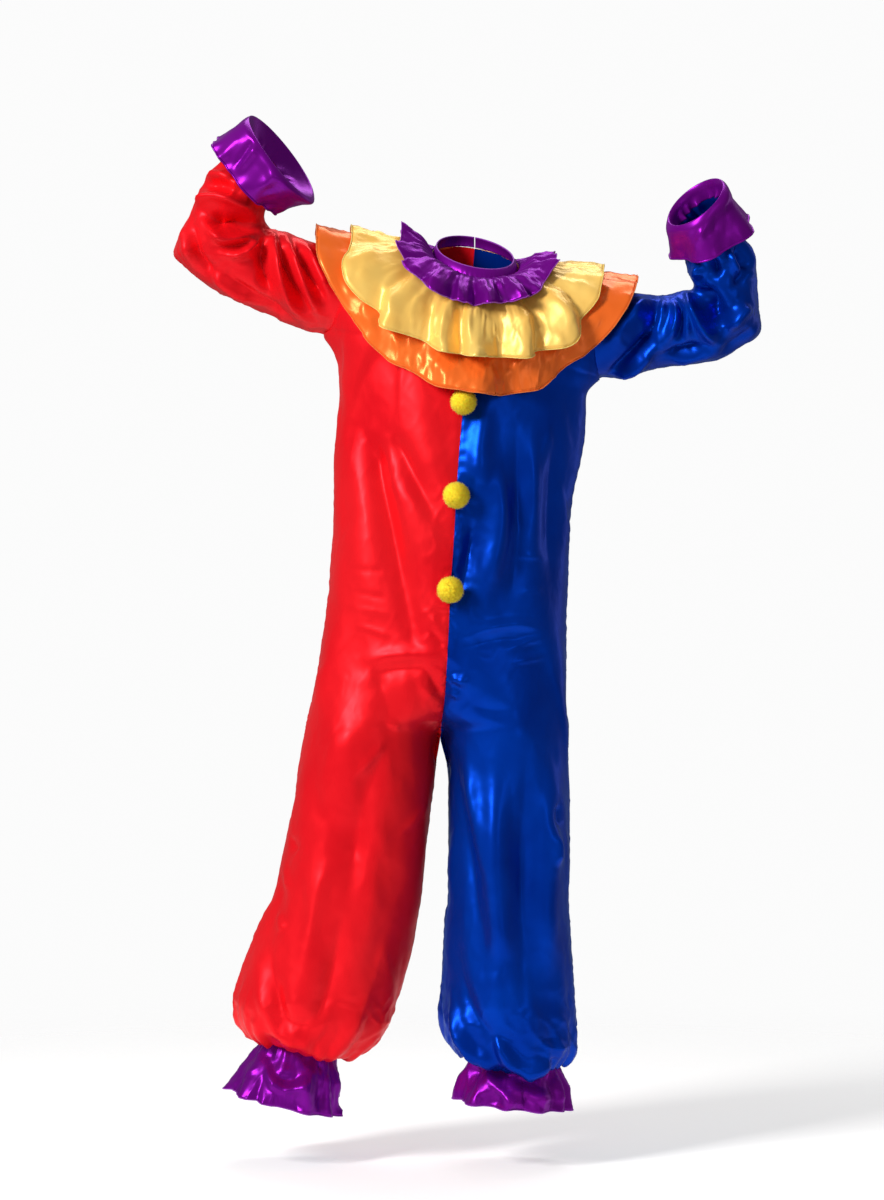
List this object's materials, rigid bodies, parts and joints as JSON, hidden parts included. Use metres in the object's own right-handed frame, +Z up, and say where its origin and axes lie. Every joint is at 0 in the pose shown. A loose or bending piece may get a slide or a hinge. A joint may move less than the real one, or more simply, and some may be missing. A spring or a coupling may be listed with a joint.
{
  "type": "clown costume jumpsuit",
  "caption": "Loose satin clown jumpsuit in red and blue halves, with a tiered ruffled collar, turned-back purple cuffs, ankle ruffles and yellow pompoms, worn with both arms raised.",
  "frame": {"origin": "middle of the neck base, where the wearer's neck and shoulders carry the suit", "axes": "+Z up, -Y is the front of the suit, +X is the wearer's left, the blue half"},
  "size_m": [1.002, 0.3437, 1.7152],
  "materials": {
    "red": "shiny satin",
    "blue": "shiny satin",
    "purple": "shiny satin",
    "yellow": "shiny satin",
    "orange": "shiny satin",
    "pompom": "fluffy yarn"
  },
  "bodies": {
    "root": {"front_right": "red", "front_left": "blue", "back_right": "red", "back_left": "blue", "sleeve_right": "red", "sleeve_left": "blue", "cuff_right": "purple", "cuff_left": "purple", "ankle_ruffle_right": "purple", "ankle_ruffle_left": "purple", "neckband": "purple", "neck_ruffle": "purple", "collar_yellow": "yellow", "collar_orange": "orange", "pompom_top": "pompom", "pompom_middle": "pompom", "pompom_bottom": "pompom"}
  },
  "joints": []
}
